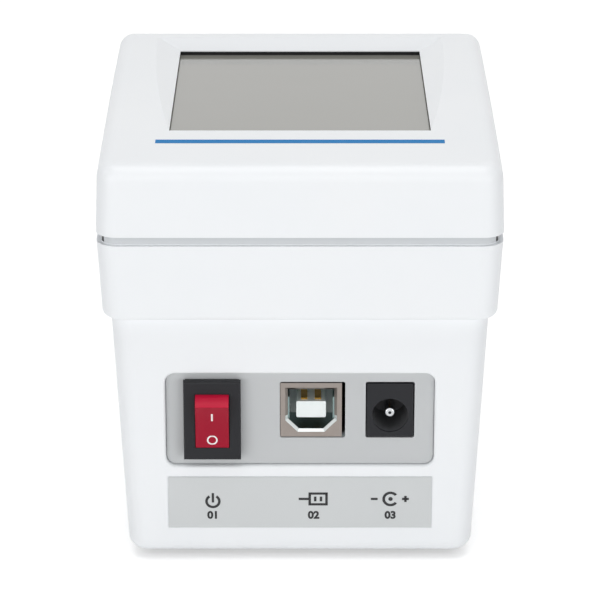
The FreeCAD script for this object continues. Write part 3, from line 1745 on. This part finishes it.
def camera_board():
    board = around(0, hood_mid_y, camera_w / 2, camera_l / 2, camera_z, camera_z + camera_t)
    holes = [drum(pan_hole_r, x, y, camera_z - overrun, camera_z + camera_t + overrun)
             for x, y in camera_holes()]
    top = camera_z + camera_t
    socket = around(0, camera_flex_y, camera_socket_w / 2, camera_socket_l / 2,
                    top, top + camera_socket_h)
    slit = around(0, camera_flex_y, camera_socket_w / 4 + fit_gap, flex_t / 2 + fit_gap / 3,
                  top + camera_socket_h / 2, top + camera_socket_h + overrun)
    return board.fuse(socket).cut(holes + [slit])


def image_sensor():
    return around(0, hood_mid_y, sensor_w / 2, sensor_w / 2, camera_z - sensor_t, camera_z)


def lens_holder():
    low = camera_z - holder_l
    ring = drum(holder_r, 0, hood_mid_y, low, camera_z)
    room = around(0, hood_mid_y, sensor_w / 2 + fit_gap, sensor_w / 2 + fit_gap,
                  camera_z - holder_l / 3, camera_z)
    return ring.cut([room, drum(barrel_r, 0, hood_mid_y, low - overrun, camera_z - holder_l / 3)])


def barrel_low_z():
    return camera_z - holder_l - barrel_drop


def lens_barrel():
    low = barrel_low_z()
    barrel = drum(barrel_r, 0, hood_mid_y, low, low + barrel_l)
    return barrel.cut([drum(lens_r, 0, hood_mid_y, low - overrun, low + lens_t + lens_swell),
                       drum(lens_r * 0.7, 0, hood_mid_y, low, low + barrel_l + overrun)])


def lens():
    """Front lens, domed below."""
    low = barrel_low_z() + lens_swell
    disc = drum(lens_r, 0, hood_mid_y, low, low + lens_t)
    dome_r = (lens_r ** 2 + lens_swell ** 2) / (2 * lens_swell)
    ball = Part.makeSphere(dome_r, V(0, hood_mid_y, low - lens_swell + dome_r))
    cap = ball.common(drum(lens_r, 0, hood_mid_y, low - lens_swell, low))
    return disc.fuse(cap)


def end_sensor():
    """Slotted light gate that the tray's flag enters when the drawer is shut."""
    low = base_top_z + opto_board_t
    y = tray_rear_y + opto_gap
    gate = block(-opto_half_w, opto_half_w, y, y + opto_l, low, low + opto_h)
    half = flag_half_w + opto_slot
    return gate.cut(block(-half, half, y - overrun, y + opto_l + overrun,
                          low + opto_floor, low + opto_h + overrun))


def sensor_board():
    y = tray_rear_y + opto_gap + opto_l / 2
    return around(0, y, opto_board_w / 2, opto_board_l / 2, base_top_z, base_top_z + opto_board_t)


def small_screws():
    """Every small pan screw: boards, carrier, camera, hood and motor."""
    screws = []
    for x, y in shelf_screws():
        screws.append(pan_screw(x, y, io_top_z))
    for x, y in camera_holes():
        screws.append(pan_screw(x, y, camera_z + camera_t))
    for x, y in hood_ears():
        screws.append(pan_screw(x, y, deck_top_z + hood_ear_t))
    for x, y in motor_ears():
        screws.append(pan_screw(x, y, deck_top_z + motor_ear_t))
    for x, y in carrier_ears():
        screws.append(on_glass(pan_screw(x, y, carrier_low, -1)))
    for x, y in corners(standoff_x, standoff_y):
        screws.append(on_glass(pan_screw(x, y, board_low, -1)))
    return screws


NODES = [
    main_housing, upper_cover, base_plate, rubber_feet, case_screws, base_screws,
    chassis_screws, small_screws, io_panel, port_label, switch_body, switch_rocker,
    switch_terminals, switch_leads, usb_shell, usb_insulator, usb_contacts, dc_jack_body,
    dc_jack_pin, dc_jack_spring, io_board, io_board_parts, display_gasket, touch_glass,
    lcd_panel, lcd_frame, display_carrier, board_standoffs, main_board, board_chips,
    board_sockets, coin_cell, cell_holder, buzzer, display_cable, main_cable, camera_cable,
    motor_cable, drawer_tray, drawer_front, front_screws, slide_bushes, guide_rods,
    reference_tile, drawer_rack, motor_pinion, motor_shaft, stepper_motor, drawer_chassis,
    optics_hood, optics_window, led_boards, leds, camera_board, image_sensor, lens_holder,
    lens_barrel, lens, end_sensor, sensor_board,
]

os.makedirs("parts", exist_ok=True)
for make in NODES:
    made = make()
    shape = Part.makeCompound(made) if isinstance(made, list) else made
    solids = shape.Solids
    good = shape.isValid() and all(solid.isValid() for solid in solids)
    box = shape.BoundBox
    print(f"{make.__name__:18s} solids {len(solids):2d} valid {good} volume {shape.Volume:9.1f} "
          f"x {box.XMin:7.2f} {box.XMax:7.2f} y {box.YMin:7.2f} {box.YMax:7.2f} "
          f"z {box.ZMin:6.2f} {box.ZMax:6.2f}")
    shape.exportStep(f"parts/{make.__name__}.step")
